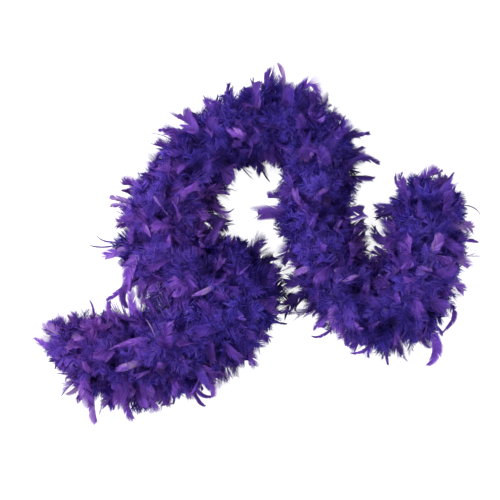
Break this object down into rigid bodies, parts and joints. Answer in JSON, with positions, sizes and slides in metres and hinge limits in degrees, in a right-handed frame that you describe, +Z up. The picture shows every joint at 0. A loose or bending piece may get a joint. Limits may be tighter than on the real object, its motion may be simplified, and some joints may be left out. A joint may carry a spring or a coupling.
{
  "type": "feather boa",
  "caption": "Long fluffy costume boa: a soft cord wound with thread that carries dyed turkey feather tufts, laid in loose bends.",
  "frame": {"origin": "middle of the space that the laid-out boa covers, on the surface that it lies on", "axes": "+X along the longer side of the laid-out boa, +Y from its lower strand towards the top of its arch, +Z up from the surface"},
  "size_m": [0.8945, 0.7085, 0.1548],
  "materials": {
    "dyed_feather": "dyed turkey feather, soft and matt with pale quills",
    "cotton_cord": "dyed twisted cotton",
    "binding_thread": "dyed polyester thread"
  },
  "bodies": {
    "root": {"core_cord": "cotton_cord", "binding_thread": "binding_thread", "left_end_knot": "cotton_cord", "right_end_knot": "cotton_cord", "feather_tuft_01": "dyed_feather", "feather_tuft_02": "dyed_feather", "feather_tuft_03": "dyed_feather", "feather_tuft_04": "dyed_feather", "feather_tuft_05": "dyed_feather", "feather_tuft_06": "dyed_feather", "feather_tuft_07": "dyed_feather", "feather_tuft_08": "dyed_feather", "feather_tuft_09": "dyed_feather", "feather_tuft_10": "dyed_feather", "feather_tuft_11": "dyed_feather", "feather_tuft_12": "dyed_feather", "feather_tuft_13": "dyed_feather", "feather_tuft_14": "dyed_feather", "feather_tuft_15": "dyed_feather", "feather_tuft_16": "dyed_feather", "feather_tuft_17": "dyed_feather", "feather_tuft_18": "dyed_feather", "feather_tuft_19": "dyed_feather", "feather_tuft_20": "dyed_feather", "feather_tuft_21": "dyed_feather", "feather_tuft_22": "dyed_feather", "feather_tuft_23": "dyed_feather", "feather_tuft_24": "dyed_feather", "feather_tuft_25": "dyed_feather", "feather_tuft_26": "dyed_feather", "feather_tuft_27": "dyed_feather", "feather_tuft_28": "dyed_feather", "feather_tuft_29": "dyed_feather", "feather_tuft_30": "dyed_feather", "feather_tuft_31": "dyed_feather", "feather_tuft_32": "dyed_feather", "feather_tuft_33": "dyed_feather", "feather_tuft_34": "dyed_feather", "feather_tuft_35": "dyed_feather", "feather_tuft_36": "dyed_feather", "feather_tuft_37": "dyed_feather", "feather_tuft_38": "dyed_feather", "feather_tuft_39": "dyed_feather", "feather_tuft_40": "dyed_feather"}
  },
  "joints": []
}
